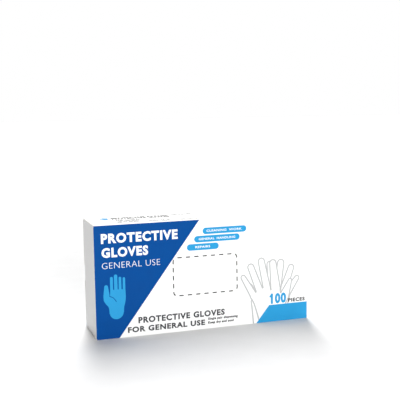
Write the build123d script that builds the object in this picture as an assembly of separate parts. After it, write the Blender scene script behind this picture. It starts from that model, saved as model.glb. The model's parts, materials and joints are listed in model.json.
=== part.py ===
from build123d import *
import os
from math import cos, radians, sin

# A folding carton of one hundred disposable gloves, standing on its bottom panel with both ends tucked shut.
# Millimetres. X runs along the carton, Y from the printed front to the back, and Z is up.
# The origin is the middle of the base, so the front panel's outer face is at Y = -DEPTH / 2.

# Carton
LENGTH = 240.0
DEPTH = 60.0
HEIGHT = 120.0
BOARD = 0.5  # thickness of the paperboard
HINGE_GAP = 0.05  # left along a crease or a torn edge, between boards that move against each other

# Dispensing window, in the middle of the front panel
WINDOW_LENGTH = 72.0
WINDOW_HEIGHT = 41.0
WINDOW_CORNER = 4.0
SLIT_COUNT = 24
SLIT_LENGTH = 5.2
SLIT_WIDTH = 0.7
SLIT_REACH = 3.0  # how far a slit's cutter reaches to either side, which spans the ring that it cuts

# Each end: one end flap with its tuck tongue, folded over two dust flaps
FLAP_PLAY = 0.3  # between the end flap and the top and bottom panels
TUCK_PLAY = 0.7  # between the end flap's fold and the back panel's outer face
DUST_SETBACK = 0.7  # how far the dust flaps' outer faces lie inside the carton's ends
DUST_PLAY = 0.7  # between a dust flap and the front panel's outer face
DUST_BACK_PLAY = 2.5  # between a dust flap and the back panel's outer face, which leaves room for the tongue
DUST_DEPTH = 45.0
DUST_SLOPE = 1.8  # rise of the dust flap's slanted edge for each millimetre from the front face
DUST_TAPER = 2.0
DUST_CORNER = 5.0
TONGUE_DEPTH = 13.0
TONGUE_PLAY = 3.0  # between the tongue's sides and the carton's top and base
TONGUE_CORNER = 9.0
TONGUE_LEAN = 9.0  # degrees that the tongue leans away from the back panel
NOTCH_RADIUS = 9.0

# Glued seam, along the lower edge of the back panel
GLUE_FLAP_LENGTH = 206.0
GLUE_FLAP_DEPTH = 15.0
GLUE_FLAP_TAPER = 5.0
GLUE = 0.1  # thickness of the glue film
GLUE_MARGIN = 2.0  # how far the glue stays inside the flap's edges

# Gloves, pressed flat and stacked from back to front, with the cuffs of each ten at the other end
BUNDLES = 10
GLOVES_PER_BUNDLE = 10
GLOVE = 0.48  # both films of one glove and the air between them
GLOVE_PITCH = 0.5
STACK_BACK = 26.5
STACK_BASE = 2.0  # height of the lowest point of the stack
CUFF_END = -114.0
CUFF_WIDTH = 86.0
PALM_WIDTH = 90.0
PALM_END = 18.0
FINGER_WIDTH = 21.0
FINGER_SPACING = 23.0
FINGER_TIPS = (84.0, 104.0, 114.0, 99.0)  # little, ring, middle and index finger
FINGER_SPREAD = 1.5  # how much further apart the fingers' tips are than their roots
THUMB_ROOT = (-42.0, 28.0)
THUMB_TIP = (36.0, 50.0)
THUMB_WIDTH = 23.0

FRONT = -DEPTH / 2
BACK = DEPTH / 2
LEFT = -LENGTH / 2
FRONT_FACE = Plane(origin=(0, FRONT, HEIGHT / 2), x_dir=(1, 0, 0), z_dir=(0, -1, 0))


def slab(low, high):
    """A rectangular board between two opposite corners."""
    size = Vector(*high) - Vector(*low)
    return Pos(*low) * Box(size.X, size.Y, size.Z, align=(Align.MIN, Align.MIN, Align.MIN))


def fold(board, crease, own, other, gap=0.0):
    """Cuts a board along the plane that halves the fold between it and the next board.

    own and other are the directions from the crease into this board and into the next one.
    """
    normal = (Vector(*own) - Vector(*other)).normalized()
    halfway = Plane(origin=Vector(*crease) + normal * gap, z_dir=normal)
    return split(board, bisect_by=halfway, keep=Keep.TOP)


def window_outline(grown=0.0):
    """The outline of the dispensing window, grown by that much on every side."""
    return RectangleRounded(
        WINDOW_LENGTH + 2 * grown, WINDOW_HEIGHT + 2 * grown, WINDOW_CORNER + grown
    )


def perforation_slits():
    """The short slits that follow the window's outline and leave small bridges of board between them."""
    ring = window_outline(SLIT_WIDTH / 2) - window_outline(-SLIT_WIDTH / 2)
    band = extrude(FRONT_FACE * ring, BOARD, both=True)
    outline = (FRONT_FACE * window_outline()).wire()
    cutter = Box(SLIT_REACH, SLIT_REACH, SLIT_LENGTH)
    stretches = [
        outline.location_at((index + 0.5) / SLIT_COUNT) * cutter for index in range(SLIT_COUNT)
    ]
    return band & (Part() + stretches)


def front_panel():
    """The printed panel, with the dispensing window. Each end folds into an end flap."""
    panel = slab((LEFT, FRONT, 0), (-LEFT, FRONT + BOARD, HEIGHT))
    panel = fold(panel, (0, FRONT, HEIGHT), own=(0, 0, -1), other=(0, 1, 0))
    panel = fold(panel, (0, FRONT, 0), own=(0, 0, 1), other=(0, 1, 0))
    panel = fold(panel, (LEFT, FRONT, 0), own=(1, 0, 0), other=(0, 1, 0))
    panel = fold(panel, (-LEFT, FRONT, 0), own=(-1, 0, 0), other=(0, 1, 0))
    window = extrude(FRONT_FACE * window_outline(), BOARD, both=True)
    return panel - window - perforation_slits()


def tear_out_panel():
    """The board inside the perforation. It is a hair smaller than the window."""
    panel = extrude(FRONT_FACE * window_outline(-HINGE_GAP), -BOARD)
    return panel - perforation_slits()


def back_panel():
    """The plain panel. Its raw ends have a half-round notch, for the thumb that lifts the end flap."""
    panel = slab((LEFT, BACK - BOARD, 0), (-LEFT, BACK, HEIGHT))
    panel = fold(panel, (0, BACK, HEIGHT), own=(0, 0, -1), other=(0, -1, 0))
    panel = fold(panel, (0, BACK, 0), own=(0, 0, 1), other=(0, -1, 0))
    notch = Rot(90, 0, 0) * Cylinder(NOTCH_RADIUS, 4 * BOARD)
    for end in (LEFT, -LEFT):
        panel -= Pos(end, BACK, HEIGHT / 2) * notch
    return panel


def bottom_panel():
    """The panel that the carton stands on. Its ends fold into the lower dust flaps."""
    end = LEFT + DUST_SETBACK
    panel = slab((end, FRONT, 0), (-end, BACK, BOARD))
    panel = fold(panel, (0, FRONT, 0), own=(0, 1, 0), other=(0, 0, 1))
    panel = fold(panel, (0, BACK, 0), own=(0, -1, 0), other=(0, 0, 1))
    panel = fold(panel, (end, 0, 0), own=(1, 0, 0), other=(0, 0, 1))
    return fold(panel, (-end, 0, 0), own=(-1, 0, 0), other=(0, 0, 1))


def flipped(part):
    """The same part turned upside down, as the top is of the bottom."""
    return mirror(part, about=Plane(origin=(0, 0, HEIGHT / 2), z_dir=(0, 0, 1)))


def glue_flap():
    """The narrow flap on the bottom panel's rear edge, bent up inside the back panel."""
    half = GLUE_FLAP_LENGTH / 2
    tip = half - GLUE_FLAP_TAPER
    outline = Polygon(
        (-half, BOARD), (half, BOARD), (tip, BOARD + GLUE_FLAP_DEPTH), (-tip, BOARD + GLUE_FLAP_DEPTH),
        align=None,
    )
    inner_face = Plane(origin=(0, BACK - BOARD - GLUE, 0), x_dir=(1, 0, 0), z_dir=(0, -1, 0))
    return extrude(inner_face * outline, BOARD)


def seam_glue():
    """The film of glue between the glue flap and the back panel."""
    half = GLUE_FLAP_LENGTH / 2 - GLUE_FLAP_TAPER - GLUE_MARGIN
    top = BOARD + GLUE_FLAP_DEPTH - GLUE_MARGIN
    return slab((-half, BACK - BOARD - GLUE, BOARD + GLUE_MARGIN), (half, BACK - BOARD, top))


def tongue_direction():
    """The way the left tongue runs from its fold."""
    return (cos(radians(TONGUE_LEAN)), -sin(radians(TONGUE_LEAN)), 0)


def end_flap():
    """The left end flap. It hangs on the front panel's end and reaches across to the back panel."""
    tuck = BACK - TUCK_PLAY
    flap = slab((LEFT, FRONT, FLAP_PLAY), (LEFT + BOARD, tuck, HEIGHT - FLAP_PLAY))
    flap = fold(flap, (LEFT, FRONT, 0), own=(0, 1, 0), other=(1, 0, 0), gap=HINGE_GAP)
    return fold(flap, (LEFT, tuck, 0), own=(0, -1, 0), other=tongue_direction())


def tuck_tongue():
    """The left tuck tongue, which slides in along the back panel and holds the end flap shut."""
    width = HEIGHT - 2 * TONGUE_PLAY
    outline = Rectangle(width, TONGUE_DEPTH, align=(Align.CENTER, Align.MIN))
    outline = fillet(outline.vertices().group_by(Axis.Y)[-1], TONGUE_CORNER)
    along = tongue_direction()
    crease = (LEFT, BACK - TUCK_PLAY, HEIGHT / 2)
    outer_face = Plane(origin=crease, x_dir=(0, 0, 1), z_dir=(-along[1], along[0], 0))
    tongue = extrude(outer_face * outline, -BOARD)
    return fold(tongue, crease, own=along, other=(0, -1, 0), gap=HINGE_GAP)


def lower_dust_flap():
    """The left dust flap of the bottom panel. Its front edge slants, so that it follows the end flap out."""
    front = FRONT + DUST_PLAY
    back = BACK - DUST_BACK_PLAY
    slant_low = (front, DUST_SLOPE * (front - FRONT))
    slant_high = (FRONT + DUST_DEPTH / DUST_SLOPE, DUST_DEPTH)
    outline = Polygon(
        (front, 0), (back, 0), (back - DUST_TAPER, DUST_DEPTH), slant_high, slant_low, align=None
    )
    outline = fillet(outline.vertices().group_by(Axis.Y)[-1], DUST_CORNER)
    crease = (LEFT + DUST_SETBACK, 0, 0)
    inner_face = Plane(origin=crease, x_dir=(0, 1, 0), z_dir=(1, 0, 0))
    flap = extrude(inner_face * outline, BOARD)
    return fold(flap, crease, own=(0, 0, 1), other=(1, 0, 0), gap=HINGE_GAP)


def digit(root, tip, width):
    """A finger or a thumb pressed flat: a strip with round ends, from inside the palm to its tip."""
    line = Line(root, tip)
    turn = Rot(0, 0, Vector(1, 0).get_signed_angle(line % 0))
    return Pos(*(line @ 0.5)) * turn * SlotCenterToCenter(line.length, width)


def glove_outline():
    """A glove pressed flat, with its cuff at the left, in the middle of its own height."""
    outline = Polygon(
        (CUFF_END, -CUFF_WIDTH / 2),
        (PALM_END, -PALM_WIDTH / 2),
        (PALM_END, PALM_WIDTH / 2),
        (CUFF_END, CUFF_WIDTH / 2),
        align=None,
    )
    for index, reach in enumerate(FINGER_TIPS):
        place = index - (len(FINGER_TIPS) - 1) / 2
        root = (PALM_END - FINGER_WIDTH, place * FINGER_SPACING)
        tip = (reach - FINGER_WIDTH / 2, place * (FINGER_SPACING + FINGER_SPREAD))
        outline += digit(root, tip, FINGER_WIDTH)
    outline += digit(THUMB_ROOT, THUMB_TIP, THUMB_WIDTH)
    box = outline.bounding_box()
    return Pos(0, STACK_BASE - box.min.Y) * outline


def glove_bundle(number):
    """Ten gloves, one behind the other. Every second bundle has its cuffs at the right."""
    outline = glove_outline()
    if number % 2:
        outline = mirror(outline, about=Plane.YZ)
    bundle_front = STACK_BACK - (BUNDLES - number) * GLOVES_PER_BUNDLE * GLOVE_PITCH
    gloves = []
    for index in range(GLOVES_PER_BUNDLE):
        front_face = Plane(
            origin=(0, bundle_front + index * GLOVE_PITCH, 0), x_dir=(1, 0, 0), z_dir=(0, -1, 0)
        )
        gloves.append(extrude(front_face * outline, -GLOVE).solid())
    return Compound(gloves)


def end_pieces():
    """The pieces at the left end, and their mirror images at the right."""
    left = {
        "end_flap": end_flap(),
        "tuck_tongue": tuck_tongue(),
        "lower_dust_flap": lower_dust_flap(),
        "upper_dust_flap": flipped(lower_dust_flap()),
    }
    pieces = {}
    for name, part in left.items():
        pieces[f"left_{name}"] = part
        pieces[f"right_{name}"] = mirror(part, about=Plane.YZ)
    return pieces


def nodes():
    """Every piece of the carton and what it holds, by name."""
    pieces = {
        "front_panel": front_panel(),
        "tear_out_panel": tear_out_panel(),
        "back_panel": back_panel(),
        "bottom_panel": bottom_panel(),
        "top_panel": flipped(bottom_panel()),
        "glue_flap": glue_flap(),
        "seam_glue": seam_glue(),
    }
    pieces.update(end_pieces())
    for number in range(BUNDLES):
        first = number * GLOVES_PER_BUNDLE + 1
        last = first + GLOVES_PER_BUNDLE - 1
        pieces[f"gloves_{first:03d}_{last:03d}"] = glove_bundle(number)
    return pieces


os.makedirs("parts", exist_ok=True)
for node_name, node_part in nodes().items():
    export_step(node_part, f"parts/{node_name}.step")
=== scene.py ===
import json
import math
import random

import bmesh
import bpy
import numpy as np
from mathutils import Matrix, Vector, noise
from mathutils.geometry import delaunay_2d_cdt


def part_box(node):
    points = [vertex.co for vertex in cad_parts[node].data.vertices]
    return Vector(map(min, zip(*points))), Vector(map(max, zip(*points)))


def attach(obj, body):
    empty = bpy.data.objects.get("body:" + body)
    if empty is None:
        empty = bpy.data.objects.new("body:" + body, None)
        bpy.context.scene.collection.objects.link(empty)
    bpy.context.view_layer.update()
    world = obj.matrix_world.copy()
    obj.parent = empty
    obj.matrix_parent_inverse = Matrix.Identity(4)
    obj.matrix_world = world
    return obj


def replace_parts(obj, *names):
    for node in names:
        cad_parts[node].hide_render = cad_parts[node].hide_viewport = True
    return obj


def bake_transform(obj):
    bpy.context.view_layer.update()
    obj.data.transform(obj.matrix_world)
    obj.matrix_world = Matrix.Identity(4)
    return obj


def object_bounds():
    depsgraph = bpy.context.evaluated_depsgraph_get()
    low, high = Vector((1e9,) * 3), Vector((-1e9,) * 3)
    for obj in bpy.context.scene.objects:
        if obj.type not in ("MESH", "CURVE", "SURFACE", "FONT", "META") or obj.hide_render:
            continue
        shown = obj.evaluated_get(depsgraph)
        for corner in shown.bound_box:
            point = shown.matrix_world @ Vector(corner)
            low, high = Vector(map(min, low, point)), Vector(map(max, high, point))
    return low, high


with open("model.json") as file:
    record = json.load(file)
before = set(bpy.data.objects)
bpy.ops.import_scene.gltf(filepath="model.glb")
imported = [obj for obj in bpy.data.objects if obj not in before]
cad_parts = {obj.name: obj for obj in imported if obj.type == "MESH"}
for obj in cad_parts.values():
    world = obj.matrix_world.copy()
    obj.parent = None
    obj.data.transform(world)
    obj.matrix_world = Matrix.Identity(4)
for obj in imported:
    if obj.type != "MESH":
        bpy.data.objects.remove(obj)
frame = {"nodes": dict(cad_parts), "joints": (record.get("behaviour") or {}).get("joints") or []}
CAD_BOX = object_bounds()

# The looks of a folding carton of disposable gloves.
# Drawings and sizes are in millimetres. Meshes are in metres, in the row frame.
# The printed front is at low Y.
# A panel's drawing starts at the upper left corner of its printed face, with x to the right and y down.

MM = 0.001


def node_box(name):
    """The lowest and highest corner of a CAD node, in millimetres."""
    low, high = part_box(name)
    return low / MM, high / MM


def joint_place(name):
    """The point that a hinge turns about, in millimetres."""
    joint = next(joint for joint in frame["joints"] if joint["name"] == name)
    return Vector(joint["pos_m"]) / MM


# Sizes that the frame gives
LOW, HIGH = CAD_BOX[0] / MM, CAD_BOX[1] / MM
LENGTH, DEPTH, HEIGHT = HIGH - LOW
LEFT, FRONT, BASE = LOW
RIGHT, BACK, TOP = HIGH
WINDOW_LOW, WINDOW_HIGH = node_box("tear_out_panel")
BOARD = WINDOW_HIGH.y - WINDOW_LOW.y
DUST_INSET = joint_place("left_upper_dust_crease").x - LEFT
DUST_LOW, DUST_HIGH = node_box("left_upper_dust_flap")
DUST_DEPTH = joint_place("left_upper_dust_crease").z - DUST_LOW.z
TUCK_REACH = joint_place("left_tongue_crease").y - FRONT
FLAP_PLAY = node_box("left_end_flap")[0].z - BASE
TONGUE_LOW, TONGUE_HIGH = node_box("left_tuck_tongue")
TONGUE_PLAY = TONGUE_LOW.z - BASE
GLUE_LOW, GLUE_HIGH = node_box("glue_flap")
FILM_LOW, FILM_HIGH = node_box("seam_glue")

# Folds, which are rounded
FOLD_RADIUS = 0.8
FOLD_REACH = 1.5  # how far a fold's strip reaches to either side of the crease
BEND_REACH = FOLD_REACH - 1.2 * BOARD  # the part of it that would bend when a flap moves; no strip is bent here
SQUARE = 90.0
TONGUE_LEAN = 9.0  # degrees
TONGUE_DEPTH = (TONGUE_HIGH.x - TONGUE_LOW.x) / math.cos(math.radians(TONGUE_LEAN))
TONGUE_CORNER = 9.0
DUST_SLOPE = 1.8
DUST_TAPER = 2.0
DUST_CORNER = 5.0
NOTCH_RADIUS = 9.0

# Perforation
WINDOW_CORNER = 4.0
SLIT_LENGTH = 4.8
SLIT_WIDTH = 1.25
SLIT_STEPS = 6
SLITS_UP, SLITS_ALONG = 5, 7  # for each upright and each level side, of which there are two
SLIT_PITCH_UP, SLIT_PITCH_ALONG = 8.6, 9.35
SLITS_START = -2.2  # the first slit of an upright side starts in the corner's bend, before the straight edge
SLIT_TURN = 9.1  # from the last slit of an upright side to the first of the level one
TORN_GAP = 0.04

# Swelling in the middle of a panel, which is outward when above 0
FACE_SWELL = 0.6  # of the front and of the back
TOP_SWELL = -0.35
END_SWELL = 0.25
SWELL_VARIES = 0.35  # share of it that changes from patch to patch
SWELL_PATCH = 45

# Print that has rubbed off along a fold
RUB_REACH = 0.55  # to either side of the crease
RUB_LEVEL, RUB_VARIES = 0.75, 0.5
RUB_PATCH = 9

# The dried glue of the seam, inside the space that the CAD gives it
FILM_POINTS = 60  # along each of its long edges
FILM_INSET, FILM_WAVE = 0.6, 0.5  # of its lower edge
FILM_SHORTFALL = 1.4  # of its height
FILM_RIPPLES = (0.7, 0.45)  # how fast its lower and upper edges wander, for each point
FILM_MARGIN = 0.15  # share of its depth that is left free before it and behind it

GRID = 6.0  # spacing of a board's points
STILL_SHARE = 2.8  # makes up for the swelling that a still line takes away
STRIP_GRID = (4.0, 0.25)  # of a fold strip's, along it and across
ARC_STEP = 15.0  # degrees between the points of a drawn arc
MERGE = 1e-4  # points of a drawing that are nearer than this are one


# ---------------------------------------------------------------- materials

NOISE_RANGE = (0.3, 0.7)  # nearly all of a noise pattern lies between these


def linear(red, green, blue):
    """A colour in linear light, from its 0 to 255 values."""
    parts = [value / 255 for value in (red, green, blue)]
    parts = [v / 12.92 if v <= 0.04045 else ((v + 0.055) / 1.055) ** 2.4 for v in parts]
    return (*parts, 1.0)


def add_node(tree, kind, settings=None, inputs=None):
    """A new shader node, with its settings and the values of its unlinked inputs."""
    made = tree.nodes.new(kind)
    for name, value in (settings or {}).items():
        setattr(made, name, value)
    for name, value in (inputs or {}).items():
        made.inputs[name].default_value = value
    return made


def noise_on(tree, scale, detail, roughness=0.5, distortion=0.0):
    """A noise pattern that is fixed to the object's own coordinates. scale counts features per metre."""
    place = add_node(tree, "ShaderNodeTexCoord")
    pattern = add_node(
        tree,
        "ShaderNodeTexNoise",
        inputs={"Scale": scale, "Detail": detail, "Roughness": roughness, "Distortion": distortion},
    )
    tree.links.new(place.outputs["Object"], pattern.inputs["Vector"])
    return pattern.outputs["Fac"]


def ranged(tree, value, from_low, from_high, low, high):
    """A value carried from one range to another, and kept inside it."""
    made = add_node(
        tree,
        "ShaderNodeMapRange",
        inputs={"From Min": from_low, "From Max": from_high, "To Min": low, "To Max": high},
    )
    tree.links.new(value, made.inputs["Value"])
    return made.outputs["Result"]


def spread(tree, pattern, low, high):
    """A noise pattern carried to a range of values."""
    return ranged(tree, pattern, *NOISE_RANGE, low, high)


def mixed(tree, factor, first, second):
    """A colour between two. Each one is a colour or another node's output."""
    made = add_node(tree, "ShaderNodeMix", {"data_type": "RGBA"})
    tree.links.new(factor, made.inputs["Factor"])
    for socket, colour in ((made.inputs[6], first), (made.inputs[7], second)):
        if isinstance(colour, tuple):
            socket.default_value = colour
        else:
            tree.links.new(colour, socket)
    return made.outputs[2]


def bumped(tree, shader, layers, distance):
    """Gives a shader the sum of several patterns as its bump.

    layers are pairs of a pattern and its strength.
    """
    before = None
    for pattern, strength in layers:
        bump = add_node(tree, "ShaderNodeBump", inputs={"Strength": strength, "Distance": distance})
        tree.links.new(pattern, bump.inputs["Height"])
        if before:
            tree.links.new(before, bump.inputs["Normal"])
        before = bump.outputs["Normal"]
    tree.links.new(before, shader.inputs["Normal"])


def new_material(name):
    """An empty material with its node tree and its shader."""
    material = bpy.data.materials.new(name)
    material.use_nodes = True
    return material, material.node_tree, material.node_tree.nodes["Principled BSDF"]


def shade(colour, amount):
    """A colour made lighter or darker."""
    return (*(min(1.0, part * amount) for part in colour[:3]), 1.0)


CORE = linear(214, 209, 199)  # the fibres that show where the print has rubbed off


def coated_board(name, colour, gloss, mottle, shine):
    """The clay-coated outer face, bare or under ink. It rubs through where the board's wear says so."""
    material, tree, shader = new_material(name)
    cloud = noise_on(tree, 70, 4, 0.6)
    speck = noise_on(tree, 1400, 3, 0.7)
    grain = noise_on(tree, 2600, 2)
    tone = mixed(tree, spread(tree, cloud, 0, 1), shade(colour, 1 - mottle), shade(colour, 1 + mottle))
    tone = mixed(tree, ranged(tree, speck, 0.68, 0.8, 0, 0.25), tone, shade(colour, 0.8))
    worn = add_node(tree, "ShaderNodeAttribute", {"attribute_name": "wear"})
    rub = add_node(tree, "ShaderNodeMath", {"operation": "MULTIPLY"})
    tree.links.new(worn.outputs["Fac"], rub.inputs[0])
    tree.links.new(noise_on(tree, 900, 5, 0.75), rub.inputs[1])
    tone = mixed(tree, ranged(tree, rub.outputs[0], 0.42, 0.6, 0, 1), tone, CORE)
    tree.links.new(tone, shader.inputs["Base Color"])
    tree.links.new(spread(tree, cloud, gloss - 0.05, gloss + 0.06), shader.inputs["Roughness"])
    shader.inputs["Specular IOR Level"].default_value = shine
    bumped(tree, shader, ((grain, 0.12), (noise_on(tree, 260, 3), 0.1)), 0.0002)
    return material


def raw_board(name, colour, fleck):
    """Uncoated pulp: soft, rough and full of short fibres of other tones."""
    material, tree, shader = new_material(name)
    cloud = noise_on(tree, 160, 5, 0.65)
    fibre = noise_on(tree, 1500, 6, 0.7, 1.5)
    tone = mixed(tree, spread(tree, cloud, 0, 1), shade(colour, 0.93), shade(colour, 1.06))
    tone = mixed(tree, ranged(tree, fibre, 0.6, 0.72, 0, 0.5), tone, fleck)
    tone = mixed(tree, ranged(tree, fibre, 0.28, 0.4, 0.35, 0), tone, shade(colour, 1.25))
    tree.links.new(tone, shader.inputs["Base Color"])
    tree.links.new(spread(tree, fibre, 0.82, 0.96), shader.inputs["Roughness"])
    shader.inputs["Specular IOR Level"].default_value = 0.15
    bumped(tree, shader, ((fibre, 0.35), (cloud, 0.2)), 0.0003)
    return material


def nitrile(name):
    """Thin black glove film: matt, with a fine grip texture and a dull sheen on its folds."""
    material, tree, shader = new_material(name)
    cloud = noise_on(tree, 45, 3)
    grip = noise_on(tree, 1700, 2)
    tone = mixed(tree, spread(tree, cloud, 0, 1), linear(14, 14, 18), linear(27, 28, 34))
    tree.links.new(tone, shader.inputs["Base Color"])
    tree.links.new(spread(tree, cloud, 0.42, 0.58), shader.inputs["Roughness"])
    shader.inputs["Specular IOR Level"].default_value = 0.4
    shader.inputs["Sheen Weight"].default_value = 0.02
    bumped(tree, shader, ((grip, 0.25), (noise_on(tree, 220, 4), 0.35)), 0.0003)
    return material


def dried_glue(name):
    """Dispersion glue that has dried to a yellowish, uneven film."""
    material, tree, shader = new_material(name)
    cloud = noise_on(tree, 300, 4)
    tone = mixed(tree, spread(tree, cloud, 0, 1), linear(232, 224, 196), linear(246, 242, 228))
    tree.links.new(tone, shader.inputs["Base Color"])
    tree.links.new(spread(tree, cloud, 0.25, 0.5), shader.inputs["Roughness"])
    bumped(tree, shader, ((cloud, 0.3),), 0.0003)
    return material


MATERIALS = {
    "coating": coated_board("board_coating", linear(247, 247, 246), 0.5, 0.008, 0.25),
    "dark_blue": coated_board("ink_dark_blue", linear(0, 72, 144), 0.5, 0.03, 0.05),
    "light_blue": coated_board("ink_light_blue", linear(42, 153, 209), 0.5, 0.02, 0.1),
    "white_ink": coated_board("ink_white", linear(250, 250, 250), 0.5, 0.006, 0.2),
    "grey": coated_board("ink_grey", linear(66, 66, 69), 0.55, 0.03, 0.12),
    "black": coated_board("ink_black", linear(26, 26, 28), 0.55, 0.03, 0.12),
    "pale_grey": coated_board("ink_pale_grey", linear(184, 184, 185), 0.55, 0.02, 0.12),
    "inside": raw_board("board_inside", linear(176, 170, 160), linear(120, 112, 102)),
    "edge": raw_board("board_edge", linear(205, 200, 190), linear(150, 142, 130)),
}
INKS = list(MATERIALS)
NITRILE = nitrile("black_nitrile_film")
GLUE = dried_glue("seam_glue_film")


# ---------------------------------------------------------------- drawing


def arc(centre, radius, start, end, step=ARC_STEP):
    """Points on an arc from one angle to another, in degrees."""
    count = max(2, round(abs(end - start) / step))
    angles = [math.radians(start + (end - start) * i / count) for i in range(count + 1)]
    return [(centre[0] + radius * math.cos(a), centre[1] + radius * math.sin(a)) for a in angles]


def smooth(points, steps=5):
    """A smooth line through points."""
    ends = [points[0], *points, points[-1]]
    line = []
    for a, b, c, d in zip(ends, ends[1:], ends[2:], ends[3:]):
        a, b, c, d = map(Vector, (a, b, c, d))
        for t in (i / steps for i in range(steps)):
            spot = b * 2 + (c - a) * t
            spot += (a * 2 - b * 5 + c * 4 - d) * t * t
            spot += (b * 3 - a - c * 3 + d) * t * t * t
            line.append(tuple(spot / 2))
    return [*line, tuple(points[-1])]


def eased(corners):
    """A polygon with round corners. Each corner is its x, its y and its radius, which may be 0."""
    line = []
    for before, here, after in zip(corners[-1:] + corners[:-1], corners, corners[1:] + corners[:1]):
        radius, spot = here[2], Vector(here[:2])
        if not radius:
            line.append(tuple(spot))
            continue
        back, on = (Vector(before[:2]) - spot).normalized(), (Vector(after[:2]) - spot).normalized()
        half = back.angle(on) / 2
        centre = spot + (back + on).normalized() * radius / math.sin(half)
        start = (spot + back * radius / math.tan(half) - centre).normalized()
        end = (spot + on * radius / math.tan(half) - centre).normalized()
        steps = max(2, round(math.degrees(start.angle(end)) / ARC_STEP))
        line += [tuple(centre + start.slerp(end, i / steps) * radius) for i in range(steps + 1)]
    return line


def round_box(left, top, right, bottom, radius):
    """A rectangle with round corners."""
    return eased([(left, top, radius), (right, top, radius), (right, bottom, radius), (left, bottom, radius)])


def around_digits(digits):
    """The line over a row of digits, from the left of the first to the right of the last.

    A digit is its root, the centre of its tip, and half its width at the tip and at the root.
    Small round webs join neighbours.
    """
    line, before = [], None
    for root, tip, half, root_half in digits:
        root, tip = Vector(root), Vector(tip)
        along = (tip - root).normalized()
        to_left = Vector((along.y, -along.x))
        if before:
            line += web(before[0], root + to_left * root_half, before[1] + along)
        else:
            line.append(tuple(root + to_left * root_half))
        for turn in np.radians(np.arange(0, 180.1, ARC_STEP)):
            line.append(tuple(tip + (to_left * math.cos(turn) + along * math.sin(turn)) * half))
        before = (root - to_left * root_half, along)
    return [*line, tuple(before[0])]


def web(start, end, along):
    """The half round between two digits that point along."""
    centre, half = (start + end) / 2, (start - end) / 2
    down = -along.normalized() * half.length
    turns = np.radians(np.arange(0, 180.1, 2 * ARC_STEP))
    return [tuple(centre + half * math.cos(turn) + down * math.sin(turn)) for turn in turns]


def stroke(line, width):
    """A line of that width, as one closed contour."""
    points = [Vector(point) for point in line]
    sides = []
    for before, here, after in zip([points[0], *points], points, [*points[1:], points[-1]]):
        run = (after - before).normalized()
        sides.append(Vector((-run.y, run.x)) * width / 2)
    left = [tuple(point + side) for point, side in zip(points, sides)]
    right = [tuple(point - side) for point, side in zip(points, sides)]
    return left + right[::-1]


def mesh_loops(mesh):
    """The closed lines along a flat mesh's edges."""
    uses = {}
    for polygon in mesh.polygons:
        for key in polygon.edge_keys:
            uses[key] = uses.get(key, 0) + 1
    beside = {}
    for a, b in (key for key, count in uses.items() if count == 1):
        beside.setdefault(a, []).append(b)
        beside.setdefault(b, []).append(a)
    loops = []
    while beside:
        here = next(iter(beside))
        loop = []
        while here in beside:
            loop.append(here)
            following = beside.pop(here)
            here = next((v for v in following if v in beside), here)
        loops.append([mesh.vertices[v].co.xy.copy() for v in loop])
    return loops


def lettering(words, left, top, right, base, weight=0.0, spacing=1.0):
    """The outlines of words in Blender's own typeface, fitted between those four limits."""
    curve = bpy.data.curves.new("words", "FONT")
    curve.body = words
    curve.resolution_u = 3
    curve.offset = weight
    curve.space_character = spacing
    carrier = bpy.data.objects.new("words", curve)
    bpy.context.scene.collection.objects.link(carrier)
    shown = carrier.evaluated_get(bpy.context.evaluated_depsgraph_get())
    mesh = bpy.data.meshes.new_from_object(shown)
    loops = mesh_loops(mesh)
    bpy.data.objects.remove(carrier)
    bpy.data.curves.remove(curve)
    bpy.data.meshes.remove(mesh)
    spots = np.array([point for loop in loops for point in loop])
    low, high = spots.min(0), spots.max(0)
    wide, tall = (right - left) / (high[0] - low[0]), (base - top) / (high[1] - low[1])
    return [[(left + (x - low[0]) * wide, base - (y - low[1]) * tall) for x, y in loop] for loop in loops]


def small_print(left, top, right, height, seed):
    """A line of words too small to read: rows of upright bars, some of them tall."""
    pick = random.Random(seed)
    bar, gap = 0.42 * height, 0.18 * height
    contours, x, letters = [], left, pick.randint(4, 9)
    while x + bar < right:
        if letters:
            rise = height if pick.random() < 0.35 else 0.74 * height
            contours.append(rectangle(x, top + height - rise, x + bar, top + height))
            letters -= 1
            x += bar + gap
        else:
            letters = pick.randint(3, 10)
            x += 2 * bar
    return contours


def hand_sign(left, top, width):
    """An upright open hand in one flat shape, with the crease beside its thumb."""
    unit = width / 24.2  # the drawing below is 24.2 wide
    digits = [
        ((4.0, 22.0), (3.8, 12.5), 2.0, 3.3),
        ((9.5, 15.6), (9.6, 3.8), 1.5, 1.55),
        ((14.0, 15.6), (14.0, 1.85), 1.8, 1.85),
        ((18.4, 15.6), (18.5, 4.2), 1.4, 1.5),
        ((22.6, 15.8), (22.7, 4.9), 1.3, 1.4),
    ]
    outline = smooth([(6.6, 41.0), (6.4, 36.5), (5.4, 33.2), (2.6, 29.8), (0.9, 26.4)])
    outline += around_digits(digits)
    outline += smooth([(24.1, 20.0), (24.2, 25.0), (23.4, 30.5), (22.2, 35.0), (21.8, 40.0)])
    outline += arc((14.2, 40.0), 7.4, 5, 170)
    crease = stroke(smooth([(7.2, 21.6), (7.7, 22.9), (10.4, 24.0), (12.6, 26.4), (14.2, 28.8)]), 0.75)
    outline, crease = ([(left + x * unit, top + y * unit) for x, y in line] for line in (outline, crease))
    return outline, crease


# ---------------------------------------------------------------- artwork


SLANT = [(0, 0), (114.1, 0), (24.2, HEIGHT), (0, HEIGHT)]
ONE_FLAG = [(193.8, 91.0), (196.5, 87.7), (197.4, 87.7), (197.4, 90.3), (194.9, 92.3)]
LINE = 1.45  # width of the drawing's lines
CORNER_BAR = [(193.6, 100.5), (LENGTH, 100.5), (LENGTH, HEIGHT), (178.0, HEIGHT)]
SIGN = (7.9, 51.9, 24.2)  # the hand's left, top and width
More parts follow.
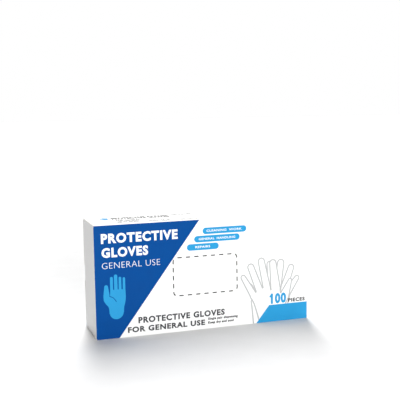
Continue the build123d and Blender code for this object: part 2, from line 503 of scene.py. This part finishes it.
# Weight and letter spacing of the words
HEADING, NOTICE, TOP_WORDS = (0.045, 1.16), (0.045, 1.15), (0.05, 1.1)
LABEL, SMALL = (0.015, 1.05), (0.065, 1.2)


def glove_drawing():
    """The outlines of two open gloves, one behind the other."""
    behind = around_digits([
        ((177.6, 87.0), (171.6, 76.0), 1.3, 2.2),
        ((197.0, 84.0), (194.6, 54.4), 3.2, 4.2),
        ((203.5, 84.0), (207.9, 53.9), 3.8, 4.2),
        ((211.0, 85.0), (220.3, 60.1), 3.3, 4.4),
        ((215.5, 88.0), (227.3, 72.4), 2.6, 4.4),
    ])
    behind = smooth([(174.9, HEIGHT), (173.4, 104.0), (172.2, 94.0)]) + behind + [(215.0, 104.0)]
    before = around_digits([
        ((174.3, 86.3), (163.2, 67.0), 2.6, 3.8),
        ((181.6, 81.3), (172.2, 56.1), 3.5, 4.0),
        ((190.6, 79.2), (184.7, 50.6), 3.6, 4.2),
        ((201.5, 82.5), (198.4, 53.4), 3.7, 5.6),
        ((213.0, 89.0), (219.1, 74.5), 2.0, 5.2),
    ])
    before = smooth([(182.4, HEIGHT), (178.9, 107.5), (175.4, 96.8), (171.5, 90.0)]) + before
    before += smooth([(217.0, 94.0), (212.0, 104.0), (210.0, HEIGHT)])
    return [
        ("pale_grey", [stroke(behind, LINE)]),
        ("coating", [before]),
        ("pale_grey", [stroke(before, LINE)]),
    ]


def heading():
    """The two large words."""
    return [
        ("white_ink", lettering("PROTECTIVE", 7.8, 8.8, 89.6, 19.2, *HEADING)),
        ("white_ink", lettering("GLOVES", 8.0, 23.6, 57.2, 33.9, *HEADING)),
    ]


def amount():
    """How many gloves the carton holds. ONE_FLAG completes the figure 1."""
    return [
        ("light_blue", lettering("100", 195.7, 87.7, 214.2, 99.6, 0.055, 1.15)),
        ("light_blue", [ONE_FLAG]),
        ("black", lettering("PIECES", 216.8, 94.9, 237.1, 99.2, *NOTICE)),
    ]


def front_artwork():
    """The inks on the front, one layer over another. The window is not printed."""
    sign, crease = hand_sign(*SIGN)
    pills = [(117.4, 9.2, 167.4), (107.8, 17.6, 159.5), (99.5, 26.0, 135.4)]
    return glove_drawing() + [
        ("dark_blue", [SLANT]),
        ("light_blue", [sign, CORNER_BAR] + [round_box(x, y, end, y + 7.0, 3.5) for x, y, end in pills]),
        ("dark_blue", [crease]),
        *heading(),
        ("white_ink", lettering("GENERAL USE", 8.0, 39.1, 69.8, 45.4, -0.02, 1.05)),
        ("white_ink", lettering("CLEANING  WORK", 121.8, 11.5, 162.0, 13.9, *LABEL)),
        ("white_ink", lettering("GENERAL  HANDLING", 113.0, 19.9, 154.3, 22.3, *LABEL)),
        ("white_ink", lettering("REPAIRS", 109.0, 28.3, 125.6, 30.7, *LABEL)),
        ("grey", lettering("PROTECTIVE GLOVES", 44.9, 99.3, 141.2, 106.2, *NOTICE)),
        ("grey", lettering("FOR GENERAL USE", 33.4, 109.2, 118.6, 115.4, *NOTICE)),
        ("black", lettering("Single pair dispensing", 122.1, 107.5, 156.2, 110.9, *SMALL)),
        ("black", lettering("Keep dry and cool", 122.1, 111.8, 151.5, 115.2, *SMALL)),
        *amount(),
    ]


def top_artwork():
    """A small sign, a heading and the lines of small print on the top."""
    sign, _ = hand_sign(15.8, 6.5, 8.5)
    layers = [
        ("light_blue", [sign]),
        ("black", lettering("PROTECTIVE GLOVES", 28.0, 9.0, 92.0, 24.0, *TOP_WORDS)),
        ("grey", lettering("100 PIECES", 97.0, 6.5, 120.0, 13.0, 0.045, 1.1)),
        ("black", lettering("FOR GENERAL", 30.0, 28.5, 56.0, 36.5, *TOP_WORDS)),
        ("black", lettering("USE IN WORK", 28.0, 39.5, 53.0, 47.5, *TOP_WORDS)),
    ]
    for row in range(3):
        y = 40.0 + 4.4 * row
        layers.append(("grey", small_print(62.5, y, 87.0, 3.4, 20 + row)))
        layers.append(("grey", small_print(96.0, y + 2.0, 116.0, 2.6, 30 + row)))
    return layers


def back_artwork():
    """The back repeats the front's colours, with columns of small print in place of the window."""
    sign, crease = hand_sign(*SIGN)
    layers = [
        ("dark_blue", [SLANT]),
        ("light_blue", [sign, CORNER_BAR]),
        ("dark_blue", [crease]),
        *heading(),
        *amount(),
    ]
    for column in range(2):
        left = 122.0 + 54.0 * column
        layers.append(("grey", small_print(left, 13.0, left + 34, 3.4, 50 + column)))
        for row in range(9):
            seed = 60 + 10 * column + row
            layers.append(("grey", small_print(left, 21.0 + 5.4 * row, left + 46, 2.3, seed)))
    return layers


# ---------------------------------------------------------------- board


def flat_panel(corner, along, down, outward, size, swell=0.0, still=None):
    """How a drawing lies on a flat panel, which may swell outward in its middle.

    still is how far down the drawing a line runs that keeps flat.
    """
    corner, along, down, outward = map(Vector, (corner, along, down, outward))

    def place(x, y, depth):
        u, v = 2 * x / size[0] - 1, 2 * y / size[1] - 1
        rise = swell * max(0.0, 1 - u * u) ** 2 * max(0.0, 1 - v * v) ** 2
        rise *= 1 if still is None else STILL_SHARE * (2 * (y - still) / size[1]) ** 2
        rise *= 1 + SWELL_VARIES * noise.noise(Vector((x, y, 7.0)) / SWELL_PATCH)
        return (corner + along * x + down * y + outward * (rise - depth)) * MM

    return place


def rounded_fold(corner, along, first, second):
    """How a strip lies round a fold: c runs along it, and s across, below 0 on the first board."""
    corner, along, first, second = map(Vector, (corner, along, first, second))
    half_turn = (math.pi - first.angle(second)) / 2
    tangent = FOLD_RADIUS * math.tan(half_turn)
    inward = (first + second).normalized()
    sideways = (second - first).normalized()
    centre = inward * FOLD_RADIUS / math.cos(half_turn)

    def place(c, s, depth):
        turn = max(-1.0, min(1.0, s / tangent)) * half_turn
        outward = sideways * math.sin(turn) - inward * math.cos(turn)
        if abs(s) <= tangent:
            spot = centre + outward * FOLD_RADIUS
        else:
            spot = (second if s > 0 else first) * abs(s)
        return (corner + along * c + spot - outward * depth) * MM

    return place


def held_by(points, contours):
    """Which points lie inside contours, where a contour inside another one is a hole.

    A contour that laps over itself holds the points under the lap too.
    """
    inside = np.zeros(len(points), bool)
    x, y = points[:, 0], points[:, 1]
    for contour in contours:
        ends = np.asarray(contour, float)
        low, high = ends.min(0), ends.max(0)
        near = np.flatnonzero((x >= low[0]) & (x <= high[0]) & (y >= low[1]) & (y <= high[1]))
        if not len(near):
            continue
        starts = np.roll(ends, 1, axis=0)
        rise = ends[:, 1] - starts[:, 1]
        rise[rise == 0] = MERGE
        px, py = x[near, None], y[near, None]
        spans = (starts[:, 1] > py) != (ends[:, 1] > py)
        left_of = px < starts[:, 0] + (py - starts[:, 1]) / rise * (ends[:, 0] - starts[:, 0])
        turns = np.where(spans & left_of, np.sign(rise), 0).sum(1)
        inside[near] ^= turns != 0
    return inside


def triangulate(outline, contours, spacing):
    """Triangles that fill an outline, with every contour among their edges and a grid of points between.

    spacing is the grid's pitch in x and in y, and no side of a triangle is much longer than that.
    """
    spots = np.array([point for loop in outline for point in loop])
    low, high = spots.min(0), spots.max(0)
    points, edges = [], []
    for contour in [*outline, *contours]:
        ends = np.asarray(contour, float)
        if (ends.max(0) < low).any() or (ends.min(0) > high).any():
            continue
        first = len(points)
        for here, following in zip(ends, np.roll(ends, -1, axis=0)):
            count = max(1, math.ceil(np.linalg.norm((following - here) / spacing)))
            points += [(here + (following - here) * i / count) / spacing for i in range(count)]
        edges += [(i, i + 1) for i in range(first, len(points) - 1)] + [(len(points) - 1, first)]
    counts = np.maximum(1, np.round((high - low) / spacing)).astype(int)
    for row in range(1, counts[1]):
        for column in range(counts[0]):
            share = np.array([(column + (0.25 if row % 2 else 0.75)) / counts[0], row / counts[1]])
            points.append((low + share * (high - low)) / spacing)
    found = delaunay_2d_cdt([Vector(point) for point in points], edges, [], 0, MERGE, False)
    corners = np.array([corner[:] for corner in found[0]]) * spacing
    triangles = np.array([face[:] for face in found[2]])
    triangles = triangles[held_by(corners[triangles].mean(1), outline)]
    used, triangles = np.unique(triangles, return_inverse=True)
    return corners[used], triangles.reshape(-1, 3)


def rim(triangles):
    """The edges that only one triangle has, in its direction."""
    edges = {(a, b) for t in triangles.tolist() for a, b in zip(t, t[1:] + t[:1])}
    return [(a, b) for a, b in edges if (b, a) not in edges]


def finish_mesh(name, verts, faces, slots, materials, crisp=35.0):
    """An object from a closed mesh, shaded smooth except at its sharp edges."""
    mesh = bpy.data.meshes.new(name)
    mesh.from_pydata([tuple(v) for v in verts], [], faces)
    for material in materials:
        mesh.materials.append(material)
    mesh.polygons.foreach_set("material_index", slots)
    work = bmesh.new()
    work.from_mesh(mesh)
    bmesh.ops.recalc_face_normals(work, faces=work.faces)
    work.to_mesh(mesh)
    work.free()
    mesh.polygons.foreach_set("use_smooth", [True] * len(mesh.polygons))
    mesh.set_sharp_from_angle(angle=math.radians(crisp))
    mesh.update()
    made = bpy.data.objects.new(name, mesh)
    bpy.context.scene.collection.objects.link(made)
    return made


def board(name, outline, place, art=(), spacing=(GRID, GRID), wear=None):
    """A piece of board cut to an outline, printed with art, and laid where place says."""
    corners, triangles = triangulate(outline, [c for _, contours in art for c in contours], spacing)
    centres = corners[triangles].mean(1)
    inks = np.zeros(len(triangles), int)
    for ink, contours in art:
        inks[held_by(centres, contours)] = INKS.index(ink)
    count = len(corners)
    verts = [place(x, y, 0.0) for x, y in corners] + [place(x, y, BOARD) for x, y in corners]
    faces = triangles.tolist() + (triangles[:, ::-1] + count).tolist()
    faces += [(b, a, a + count, b + count) for a, b in rim(triangles)]
    slots = inks.tolist() + [INKS.index("inside")] * len(triangles)
    slots += [INKS.index("edge")] * (len(faces) - len(slots))
    made = finish_mesh(name, verts, faces, slots, list(MATERIALS.values()))
    worn = [wear(x, y) if wear else 0.0 for x, y in corners]
    made.data.attributes.new("wear", "FLOAT", "POINT").data.foreach_set("value", worn + [0.0] * count)
    return made


def fold_strip(name, outline, corner, along, first, second, bodies, art=(), turned=None):
    """The rounded board along a crease. It rides on one body, or, when given two, stays where it is and rides
    on neither.

    turned carries a drawing's point to the strip's own c and s.
    """
    lie = rounded_fold(corner, along, first, second)
    turned = turned or (lambda x, y: (x, y))

    def place(x, y, depth):
        return lie(*turned(x, y), depth)

    def wear(x, y):
        c, s = turned(x, y)
        patch = RUB_LEVEL + RUB_VARIES * noise.noise(Vector((c / RUB_PATCH, s, 3.0)))
        return max(0.0, 1 - abs(s) / RUB_REACH) * patch

    upright = abs(turned(1, 0)[0] - turned(0, 0)[0]) < 0.5
    spacing = (STRIP_GRID[1], STRIP_GRID[0]) if upright else STRIP_GRID
    made = board(name, [outline], place, art, spacing, wear)
    if len(bodies) == 1:
        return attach(made, bodies[0])
    end = (Vector(corner) + Vector(second) * BEND_REACH) * MM
    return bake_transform(made)


# ---------------------------------------------------------------- the carton


def window_spot(distance, out):
    """The point that far along the window's outline, moved out by that much.

    The outline runs down its left side from the upper corner, along the bottom, up the right and back.
    """
    middle = Vector((WINDOW_LOW.x + WINDOW_HIGH.x - 2 * LEFT, 2 * TOP - WINDOW_LOW.z - WINDOW_HIGH.z)) / 2
    half = Vector((WINDOW_HIGH.x - WINDOW_LOW.x, WINDOW_HIGH.z - WINDOW_LOW.z)) / 2
    bend = WINDOW_CORNER * math.pi / 2
    onward, outward, reach = Vector((0, 1)), Vector((-1, 0)), half.yx
    while True:
        run = 2 * (reach.x - WINDOW_CORNER)
        start = middle + outward * (reach.y - WINDOW_CORNER) - onward * run / 2
        if distance < run:
            return start + onward * distance + outward * (WINDOW_CORNER + out)
        if distance < run + bend:
            turn = (distance - run) / WINDOW_CORNER
            spoke = outward * math.cos(turn) + onward * math.sin(turn)
            return start + onward * run + spoke * (WINDOW_CORNER + out)
        distance -= run + bend
        onward, outward, reach = -outward, onward, reach.yx


def window_edge(along_slits, along_ties):
    """The window's outline, moved out by one amount along slits and by another along the ties between."""
    size = WINDOW_HIGH - WINDOW_LOW
    half_way = size.x + size.z - (4 - math.pi) * WINDOW_CORNER
    upright = [SLITS_START + SLIT_PITCH_UP * i for i in range(SLITS_UP)]
    level = [upright[-1] + SLIT_TURN + SLIT_PITCH_ALONG * i for i in range(SLITS_ALONG)]
    line = []
    for first in [turned + start for turned in (half_way, 2 * half_way) for start in upright + level]:
        steps = [first + SLIT_LENGTH * i / SLIT_STEPS for i in range(SLIT_STEPS + 1)]
        line.append(tuple(window_spot(first, along_ties)))
        line += [tuple(window_spot(step, along_slits)) for step in steps]
        line.append(tuple(window_spot(steps[-1], along_ties)))
    return line


def rectangle(left, top, right, bottom):
    """A rectangle's corners."""
    return [(left, top), (right, top), (right, bottom), (left, bottom)]


def printed_panels(print_front, print_top, print_back):
    """The four panels of the sleeve, and the part of the front that tears out."""
    near, far = FOLD_REACH, LENGTH - FOLD_REACH
    hinge = TOP - joint_place("tear_out_panel_lift").z
    size = (LENGTH, HEIGHT)
    front = flat_panel((LEFT, FRONT, TOP), (1, 0, 0), (0, 0, -1), (0, -1, 0), size, FACE_SWELL, hinge)
    outline = rectangle(near, near, far, HEIGHT - near)
    made = board("front_board", [outline, window_edge(SLIT_WIDTH / 2, TORN_GAP / 2)], front, print_front)
    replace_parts(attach(made, "sleeve"), "front_panel")
    made = board("tear_out_board", [window_edge(-SLIT_WIDTH / 2, -TORN_GAP / 2)], front, print_front)
    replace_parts(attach(made, "tear_out_panel"), "tear_out_panel")

    back = flat_panel((RIGHT, BACK, TOP), (-1, 0, 0), (0, 0, -1), (0, 1, 0), size, FACE_SWELL)
    low, middle = HEIGHT - FLAP_PLAY, HEIGHT / 2
    outline = [(0, near), (LENGTH, near)]
    outline += arc((LENGTH, middle), NOTCH_RADIUS, -SQUARE, -3 * SQUARE)
    outline += [(LENGTH, low), (0, low)]
    outline += arc((0, middle), NOTCH_RADIUS, SQUARE, -SQUARE)
    made = board("back_board", [outline], back, print_back)
    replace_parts(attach(made, "sleeve"), "back_panel")

    inset, rear = DUST_INSET + FOLD_REACH, BACK - DUST_HIGH.y
    top = flat_panel((LEFT, BACK, TOP), (1, 0, 0), (0, -1, 0), (0, 0, 1), (LENGTH, DEPTH), TOP_SWELL)
    outline = [(DUST_INSET, near), (LENGTH - DUST_INSET, near), (LENGTH - DUST_INSET, rear)]
    outline += [(LENGTH - inset, rear), (LENGTH - inset, DEPTH - near), (inset, DEPTH - near)]
    outline += [(inset, rear), (DUST_INSET, rear)]
    made = board("top_board", [outline], top, print_top)
    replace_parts(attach(made, "sleeve"), "top_panel")

    bottom = flat_panel((LEFT, FRONT, BASE), (1, 0, 0), (0, 1, 0), (0, 0, -1), (LENGTH, DEPTH))
    seam = GLUE_HIGH.y - FRONT
    glue_left, glue_right = GLUE_LOW.x - LEFT, GLUE_HIGH.x - LEFT
    outline = [(inset, near), (LENGTH - inset, near), (LENGTH - inset, DEPTH - rear)]
    outline += [(LENGTH - DUST_INSET, DEPTH - rear), (LENGTH - DUST_INSET, seam), (glue_right, seam)]
    outline += [(glue_right, seam - near), (glue_left, seam - near), (glue_left, seam), (DUST_INSET, seam)]
    outline += [(DUST_INSET, DEPTH - rear), (inset, DEPTH - rear)]
    made = board("bottom_board", [outline], bottom)
    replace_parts(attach(made, "sleeve"), "bottom_panel")


def long_folds(print_front, print_back):
    """The rounded creases along the carton, between the four panels."""
    span = rectangle(DUST_INSET, -FOLD_REACH, LENGTH - DUST_INSET, FOLD_REACH)
    low_span = [(x, y + HEIGHT) for x, y in span]
    fold_strip(
        "front_top_fold", span, (LEFT, FRONT, TOP), (1, 0, 0), (0, 0, -1), (0, 1, 0), ["sleeve"], print_front,
        lambda x, y: (x, -y),
    )
    fold_strip(
        "front_bottom_fold", low_span, (LEFT, FRONT, BASE), (1, 0, 0), (0, 0, 1), (0, 1, 0), ["sleeve"],
        print_front, lambda x, y: (x, y - HEIGHT),
    )
    fold_strip(
        "back_top_fold", span, (RIGHT, BACK, TOP), (-1, 0, 0), (0, 0, -1), (0, -1, 0), ["sleeve"], print_back,
        lambda x, y: (x, -y),
    )


def seam_pieces():
    """The glue flap, its crease on the bottom panel, and the glue that holds it to the back."""
    left, right = GLUE_LOW.x - LEFT, GLUE_HIGH.x - LEFT
    strip = rectangle(left, -FOLD_REACH, right, FOLD_REACH)
    fold_strip(
        "glue_flap_fold", strip, (LEFT, GLUE_HIGH.y, BASE), (1, 0, 0), (0, -1, 0), (0, 0, 1), ["sleeve"]
    )
    place = flat_panel((LEFT, GLUE_HIGH.y, BASE), (1, 0, 0), (0, 0, 1), (0, 1, 0), (LENGTH, HEIGHT))
    taper = (GLUE_HIGH.x - FILM_HIGH.x) * (FILM_HIGH.z - FILM_LOW.z) / (GLUE_HIGH.z - GLUE_LOW.z)
    tip = GLUE_HIGH.z - BASE
    outline = [(left, FOLD_REACH), (right, FOLD_REACH), (right - taper, tip), (left + taper, tip)]
    made = board("glue_flap_board", [outline], place)
    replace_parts(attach(made, "sleeve"), "glue_flap")

    rise = FILM_HIGH.z - FILM_LOW.z
    run = FILM_HIGH.x - FILM_LOW.x
    lower, upper, across = [], [], []
    for i in range(FILM_POINTS):
        waves = [noise.noise(Vector((i * pace, seed, 0.0))) for pace, seed in zip(FILM_RIPPLES, (1.0, 5.0))]
        lower.append(FILM_LOW.z + FILM_INSET + FILM_WAVE * waves[0])
        upper.append(lower[-1] + rise - FILM_SHORTFALL + waves[1])
        across.append(FILM_LOW.x - LEFT + 1 + (run - 2) * i / (FILM_POINTS - 1))
    outline = list(zip(across, lower)) + list(zip(across, upper))[::-1]
    film(outline)


def film(outline):
    """The dried glue, which is a thin closed sheet."""
    corners, triangles = triangulate([outline], [], (GRID, GRID))
    count = len(corners)
    margin = FILM_MARGIN * (FILM_HIGH.y - FILM_LOW.y)
    sides = (FILM_HIGH.y - margin, FILM_LOW.y + margin)
    faces = triangles.tolist() + (triangles[:, ::-1] + count).tolist()
    faces += [(b, a, a + count, b + count) for a, b in rim(triangles)]
    verts = [Vector((LEFT + x, y, BASE + z)) * MM for y in sides for x, z in corners]
    made = finish_mesh("seam_glue_film", verts, faces, [0] * len(faces), [GLUE])
    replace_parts(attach(made, "sleeve"), "seam_glue")


def end_pieces(name, side, print_front):
    """One end of the carton: its end flap and tongue, both dust flaps, and the creases between them."""
    end = side * RIGHT
    down, across = Vector((0, 0, -1)), Vector((0, -1, 0))
    edge = LENGTH if side > 0 else 0
    reach = side * FOLD_REACH

    strip = [(edge - reach, FOLD_REACH), (edge - reach, HEIGHT - FOLD_REACH), (edge, HEIGHT - FOLD_REACH)]
    strip += [(edge, HEIGHT - FLAP_PLAY), (edge + reach, HEIGHT - FLAP_PLAY), (edge + reach, FLAP_PLAY)]
    strip += [(edge, FLAP_PLAY), (edge, FOLD_REACH)]
    fold_strip(
        f"{name}_end_fold", strip, (end, FRONT, TOP), down, (-side, 0, 0), (0, 1, 0),
        ["sleeve", f"{name}_end_flap"], print_front, lambda x, y: (y, side * (x - edge)),
    )

    tuck = BACK - FRONT - TUCK_REACH
    place = flat_panel((end, BACK, TOP), across, down, (side, 0, 0), (DEPTH, HEIGHT), END_SWELL)
    outline = rectangle(tuck + FOLD_REACH, FLAP_PLAY, DEPTH - FOLD_REACH, HEIGHT - FLAP_PLAY)
    made = board(f"{name}_end_flap_board", [outline], place)
    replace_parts(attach(made, f"{name}_end_flap"), f"{name}_end_flap")

    lean = math.radians(TONGUE_LEAN)
    inward = Vector((-side * math.cos(lean), -math.sin(lean), 0))
    outward = Vector((-side * math.sin(lean), math.cos(lean), 0))
    corner = (end, FRONT + TUCK_REACH, TOP)
    strip = [(FLAP_PLAY, -FOLD_REACH), (HEIGHT - FLAP_PLAY, -FOLD_REACH), (HEIGHT - FLAP_PLAY, 0)]
    strip += [(HEIGHT - TONGUE_PLAY, 0), (HEIGHT - TONGUE_PLAY, FOLD_REACH), (TONGUE_PLAY, FOLD_REACH)]
    strip += [(TONGUE_PLAY, 0), (FLAP_PLAY, 0)]
    fold_strip(
        f"{name}_tongue_fold", strip, corner, down, across, inward,
        [f"{name}_end_flap", f"{name}_tuck_tongue"],
    )
    place = flat_panel(corner, down, inward, outward, (HEIGHT, TONGUE_DEPTH))
    outline = eased([
        (TONGUE_PLAY, FOLD_REACH, 0), (HEIGHT - TONGUE_PLAY, FOLD_REACH, 0),
        (HEIGHT - TONGUE_PLAY, TONGUE_DEPTH, TONGUE_CORNER), (TONGUE_PLAY, TONGUE_DEPTH, TONGUE_CORNER),
    ])
    made = board(f"{name}_tuck_tongue_board", [outline], place)
    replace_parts(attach(made, f"{name}_tuck_tongue"), f"{name}_tuck_tongue")

    for level, height, way in (("upper", TOP, down), ("lower", BASE, -down)):
        dust_flap(f"{name}_{level}", side, height, way)


def dust_flap(name, side, height, way):
    """One dust flap and its crease. way runs from the crease into the flap."""
    body = f"{name}_dust_flap"
    corner = (side * (RIGHT - DUST_INSET), BACK, height)
    across = Vector((0, -1, 0))
    rear, front = BACK - DUST_HIGH.y, BACK - DUST_LOW.y
    strip = [(rear, -FOLD_REACH), (DEPTH - FOLD_REACH, -FOLD_REACH), (DEPTH - FOLD_REACH, 0)]
    strip += [(front, 0), (front, FOLD_REACH), (rear, FOLD_REACH)]
    fold_strip(f"{name}_dust_fold", strip, corner, across, (-side, 0, 0), way, ["sleeve", body])
    place = flat_panel(corner, across, way, (side, 0, 0), (DEPTH, DUST_DEPTH))
    outline = eased([
        (rear, FOLD_REACH, 0), (DEPTH - FOLD_REACH / DUST_SLOPE, FOLD_REACH, 0),
        (DEPTH - DUST_DEPTH / DUST_SLOPE, DUST_DEPTH, DUST_CORNER),
        (rear + DUST_TAPER, DUST_DEPTH, DUST_CORNER),
    ])
    made = board(f"{body}_board", [outline], place)
    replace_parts(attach(made, body), body)


# ---------------------------------------------------------------- gloves

GLOVES = 10  # in each bundle
BUNDLES = sorted(node for node in frame["nodes"] if node.startswith("gloves_"))
STACK_LOW = node_box(BUNDLES[0])[0]
GLOVE_PITCH = (node_box(BUNDLES[1])[0].y - STACK_LOW.y) / GLOVES
FLAT_HALF = 0.1  # half the thickness of a glove
BEAD = 0.21  # half the thickness of the rolled rim of a cuff
BEAD_WIDTH = 1.6
RIM_SHARE = 0.35  # of that thickness, at a glove's edge
PALM_MIDDLE = 47.25  # above the bottom of its stack
SHIFT_ALONG, SHIFT_UP = 1.2, 0.8  # how far a glove may lie from its place
GLOVE_CRISP = 80  # degrees between faces from which their edge is shaded as sharp
FOLD_HEIGHT = 3.2  # of the loose folds in the front glove
FOLD_FADE = 9.0  # gloves behind it until they have mostly gone
# Spacing of the points of the front gloves, one by one, and of all that are behind them
GLOVE_GRIDS = (2.6, 3.6, 4.5, 4.5, 6.0, 6.0, 9.0)


def glove_outline():
    """A glove pressed flat, with its fingers to the right. The middle of its palm is at height 0."""
    digits = [((7.5, -34.5), (73.5, -36.75), 10.3, 10.3)]
    digits += [((7.5, -11.5), (93.5, -12.25), 10.3, 10.3), ((7.5, 11.5), (103.5, 12.25), 10.3, 10.3)]
    digits += [((24.0, 34.5), (88.5, 36.75), 10.3, 10.3), ((-24.0, 33.2), (36.0, 50.0), 11.0, 11.0)]
    cuff, heel = (STACK_LOW.x, 43.0), (-36.0, 44.2)
    line = [cuff, (cuff[0] + 0.4, 20.0), (cuff[0], 0.0), (cuff[0] + 0.4, -20.0), (cuff[0], -43.0)]
    return line + [(-60.0, -43.8)] + around_digits(digits) + [heel]


def loose_folds(x, z, finest):
    """How far the front glove stands out at a place, from 0 to 1: long soft folds with finer ones on them."""
    drift = noise.noise(Vector((x, z, 20.0)) / 60) * 18
    soft = noise.noise(Vector(((x + drift) / 46, (z - 0.3 * x) / 24, 4.0)))
    ridge = 1 - abs(noise.noise(Vector(((x - 0.5 * z) / 30, (z + 0.35 * x + drift) / 13, 9.0)))) * 2
    total = 0.45 * (0.5 + 0.5 * soft) + 0.4 * max(0.0, ridge) ** 2
    if finest:
        sharp = 1 - abs(noise.noise(Vector(((x + 0.8 * z) / 15, (z - 0.6 * x) / 6, 13.0)))) * 2
        total += 0.15 * max(0.0, sharp) ** 3
    return total


def glove_bundle(number, fillings):
    """Ten gloves as closed, nearly flat bags. fillings are the same outline filled more and more coarsely."""
    name = BUNDLES[number]
    low = node_box(name)[0]
    pick = random.Random(number)
    mirrored = -1 if number % 2 else 1
    middle = STACK_LOW.z - BASE + PALM_MIDDLE
    verts, faces = [], []
    for index in range(GLOVES):
        order = number * GLOVES + index
        corners, triangles = fillings[min(order, len(fillings) - 1)]
        shift = Vector((pick.uniform(-SHIFT_ALONG, SHIFT_ALONG), pick.uniform(-SHIFT_UP, SHIFT_UP)))
        out = FOLD_HEIGHT * math.exp(-order / FOLD_FADE)
        edges = {v for pair in rim(triangles) for v in pair}
        first = len(verts)
        for face in (1, -1):
            for spot, (x, z) in enumerate(corners):
                px, pz = mirrored * (x + shift.x), z + shift.y + middle
                half = BEAD if x < STACK_LOW.x + BEAD_WIDTH else FLAT_HALF
                half *= RIM_SHARE if spot in edges else 1.0
                rise = out * loose_folds(px, pz, order == 0)
                y = low.y + (index + 0.5) * GLOVE_PITCH - rise - face * half
                verts.append(Vector((px, y, BASE + pz)) * MM)
        count = len(corners)
        faces += (triangles + first).tolist() + (triangles[:, ::-1] + first + count).tolist()
        faces += [(first + b, first + a, first + a + count, first + b + count) for a, b in rim(triangles)]
    shown = name.replace("gloves_", "nitrile_gloves_")
    made = finish_mesh(shown, verts, faces, [0] * len(faces), [NITRILE], GLOVE_CRISP)
    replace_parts(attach(made, "sleeve"), name)


# ---------------------------------------------------------------- stage

OVERHEAD = 3.3  # light that falls on level faces, from a long soft box over and behind the carton
LAMP_LEANS = (-4, 11, 21, 29, 37, 45, 52)  # degrees from upright of the lamps that it is made of
LAMP_SPREAD = 13  # degrees, of each one
LAMP_TURN = 12.0  # degrees from straight behind the carton
BACKDROP, AMBIENT = 1.0, 0.15
FILL_WAY, FILL, FILL_SPREAD = (-0.05, 1.0, -0.18), 2.3, 20
FLOOR_SIZE = 40  # metres
FLOOR_TONES = (0.79, 0.81)
CAMERA_TURN, CAMERA_TILT, CAMERA_ROLL = 18.0, -6.59, -0.92  # degrees
CAMERA_PLACE = (-2.124, -6.660, 1.952)  # from the middle of the base, in heights of the carton
LENS, SENSOR = 69.13, 36.0


def floor():
    """A plain white floor that fades into the background."""
    material, tree, shader = new_material("studio_floor")
    dark, light = ((tone, tone, tone, 1) for tone in FLOOR_TONES)
    tone = mixed(tree, spread(tree, noise_on(tree, 30, 3), 0, 1), dark, light)
    tree.links.new(tone, shader.inputs["Base Color"])
    shader.inputs["Roughness"].default_value = 0.9
    shader.inputs["Specular IOR Level"].default_value = 0.0
    bpy.ops.mesh.primitive_plane_add(size=FLOOR_SIZE)
    plane = bpy.context.object
    plane.name = "studio_floor"
    plane.location.z = BASE * MM
    plane.data.materials.append(material)


def surroundings(backdrop, ambient):
    """Even light from all round, and a white backdrop behind the object."""
    world = bpy.data.worlds.new("studio")
    world.use_nodes = True
    bpy.context.scene.world = world
    tree = world.node_tree
    tree.nodes.clear()
    seen = add_node(tree, "ShaderNodeBackground", inputs={"Color": (1, 1, 1, 1), "Strength": backdrop})
    lit = add_node(tree, "ShaderNodeBackground", inputs={"Color": (1, 1, 1, 1), "Strength": ambient})
    path = add_node(tree, "ShaderNodeLightPath")
    both = add_node(tree, "ShaderNodeMixShader")
    output = add_node(tree, "ShaderNodeOutputWorld")
    tree.links.new(path.outputs["Is Camera Ray"], both.inputs["Fac"])
    tree.links.new(lit.outputs["Background"], both.inputs[1])
    tree.links.new(seen.outputs["Background"], both.inputs[2])
    tree.links.new(both.outputs["Shader"], output.inputs["Surface"])


def soft_sun(name, towards, strength, spread):
    """A broad light from far away. towards is the way that it shines and spread is its width in degrees."""
    light = bpy.data.lights.new(name, "SUN")
    light.energy = strength
    light.angle = math.radians(spread)
    lamp = bpy.data.objects.new(name, light)
    lamp.rotation_mode = "QUATERNION"
    lamp.rotation_quaternion = Vector(towards).to_track_quat("-Z", "Y")
    bpy.context.scene.collection.objects.link(lamp)


def overhead():
    """The long soft box, as a row of lamps that light a level face equally."""
    turn = Matrix.Rotation(math.radians(-LAMP_TURN), 3, "Z")
    for number, lean in enumerate(LAMP_LEANS):
        way = turn @ Vector((0, -math.sin(math.radians(lean)), 0))
        way.z = -math.cos(math.radians(lean))
        soft_sun(f"overhead_{number}", way, OVERHEAD / len(LAMP_LEANS) / -way.z, LAMP_SPREAD)


def camera():
    """The view of the front and the left end, from a little above the carton."""
    turn, tilt, roll = map(math.radians, (CAMERA_TURN, CAMERA_TILT, CAMERA_ROLL))
    forward = Vector((math.sin(turn) * math.cos(tilt), math.cos(turn) * math.cos(tilt), math.sin(tilt)))
    level = forward.cross(Vector((0, 0, 1))).normalized()
    right = level * math.cos(roll) + level.cross(forward) * math.sin(roll)
    up = right.cross(forward)
    data = bpy.data.cameras.new("camera")
    data.lens, data.sensor_width = LENS, SENSOR
    made = bpy.data.objects.new("camera", data)
    bpy.context.scene.collection.objects.link(made)
    turned = Matrix((right, up, -forward)).transposed().to_4x4()
    made.matrix_world = Matrix.Translation(Vector(CAMERA_PLACE) * HEIGHT * MM) @ turned
    bpy.context.scene.camera = made


def build():
    """Makes every piece, in the order of the object's own parts."""
    print_front, print_top, print_back = front_artwork(), top_artwork(), back_artwork()
    printed_panels(print_front, print_top, print_back)
    long_folds(print_front, print_back)
    seam_pieces()
    end_pieces("left", -1, print_front)
    end_pieces("right", 1, print_front)
    outline = glove_outline()
    fillings = [triangulate([outline], [], (spacing, spacing)) for spacing in GLOVE_GRIDS]
    for number in range(len(BUNDLES)):
        glove_bundle(number, fillings)


build()
floor()
surroundings(BACKDROP, AMBIENT)
overhead()
soft_sun("front_fill", FILL_WAY, FILL, FILL_SPREAD)
camera()
bpy.context.scene.view_settings.view_transform = "Standard"
